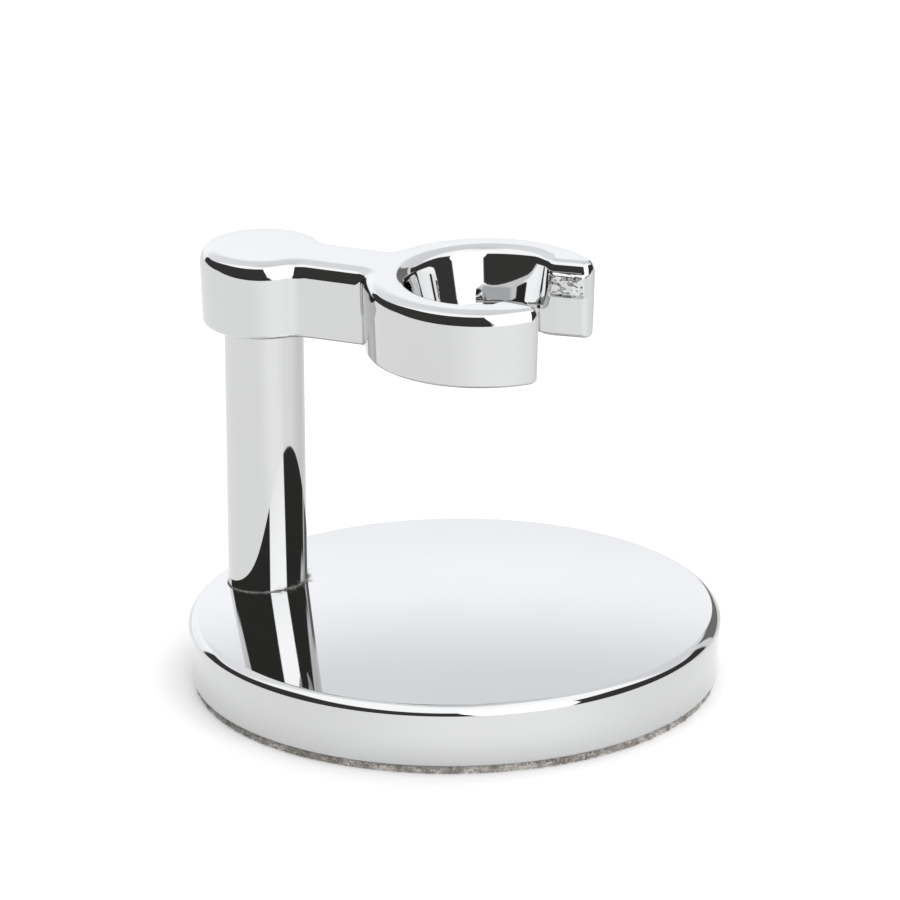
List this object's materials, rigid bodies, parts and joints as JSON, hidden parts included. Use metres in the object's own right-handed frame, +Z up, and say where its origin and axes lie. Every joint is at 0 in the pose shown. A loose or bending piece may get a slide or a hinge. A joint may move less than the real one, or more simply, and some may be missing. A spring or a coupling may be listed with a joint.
{
  "type": "razor stand",
  "caption": "Chromed stand for a safety razor: weighted round base with a suede pad, an off-centre post and a cast head whose open fork holds the handle upright.",
  "frame": {"origin": "centre of the pad's underside, where the stand rests on the counter", "axes": "+Z up along the post; +X from the post towards the fork's open mouth; the object is symmetric about the plane y = 0"},
  "size_m": [0.065, 0.065, 0.0528],
  "materials": {
    "base_chrome": "mirror-polished chrome plate",
    "chrome": "mirror-polished chrome plate",
    "suede": "split leather with a raised nap",
    "adhesive": "dull transfer film",
    "zinc_steel": "zinc-plated steel",
    "spring_steel": "oiled spring steel",
    "fibre": "vulcanised fibre"
  },
  "bodies": {
    "root": {"base_disc": "base_chrome", "base_pad": "suede", "pad_adhesive": "adhesive", "base_screw": "zinc_steel", "base_spring_washer": "spring_steel", "base_flat_washer": "zinc_steel", "post_fibre_washer": "fibre", "post": "chrome", "head_stud": "zinc_steel", "holder_head": "chrome"}
  },
  "joints": []
}
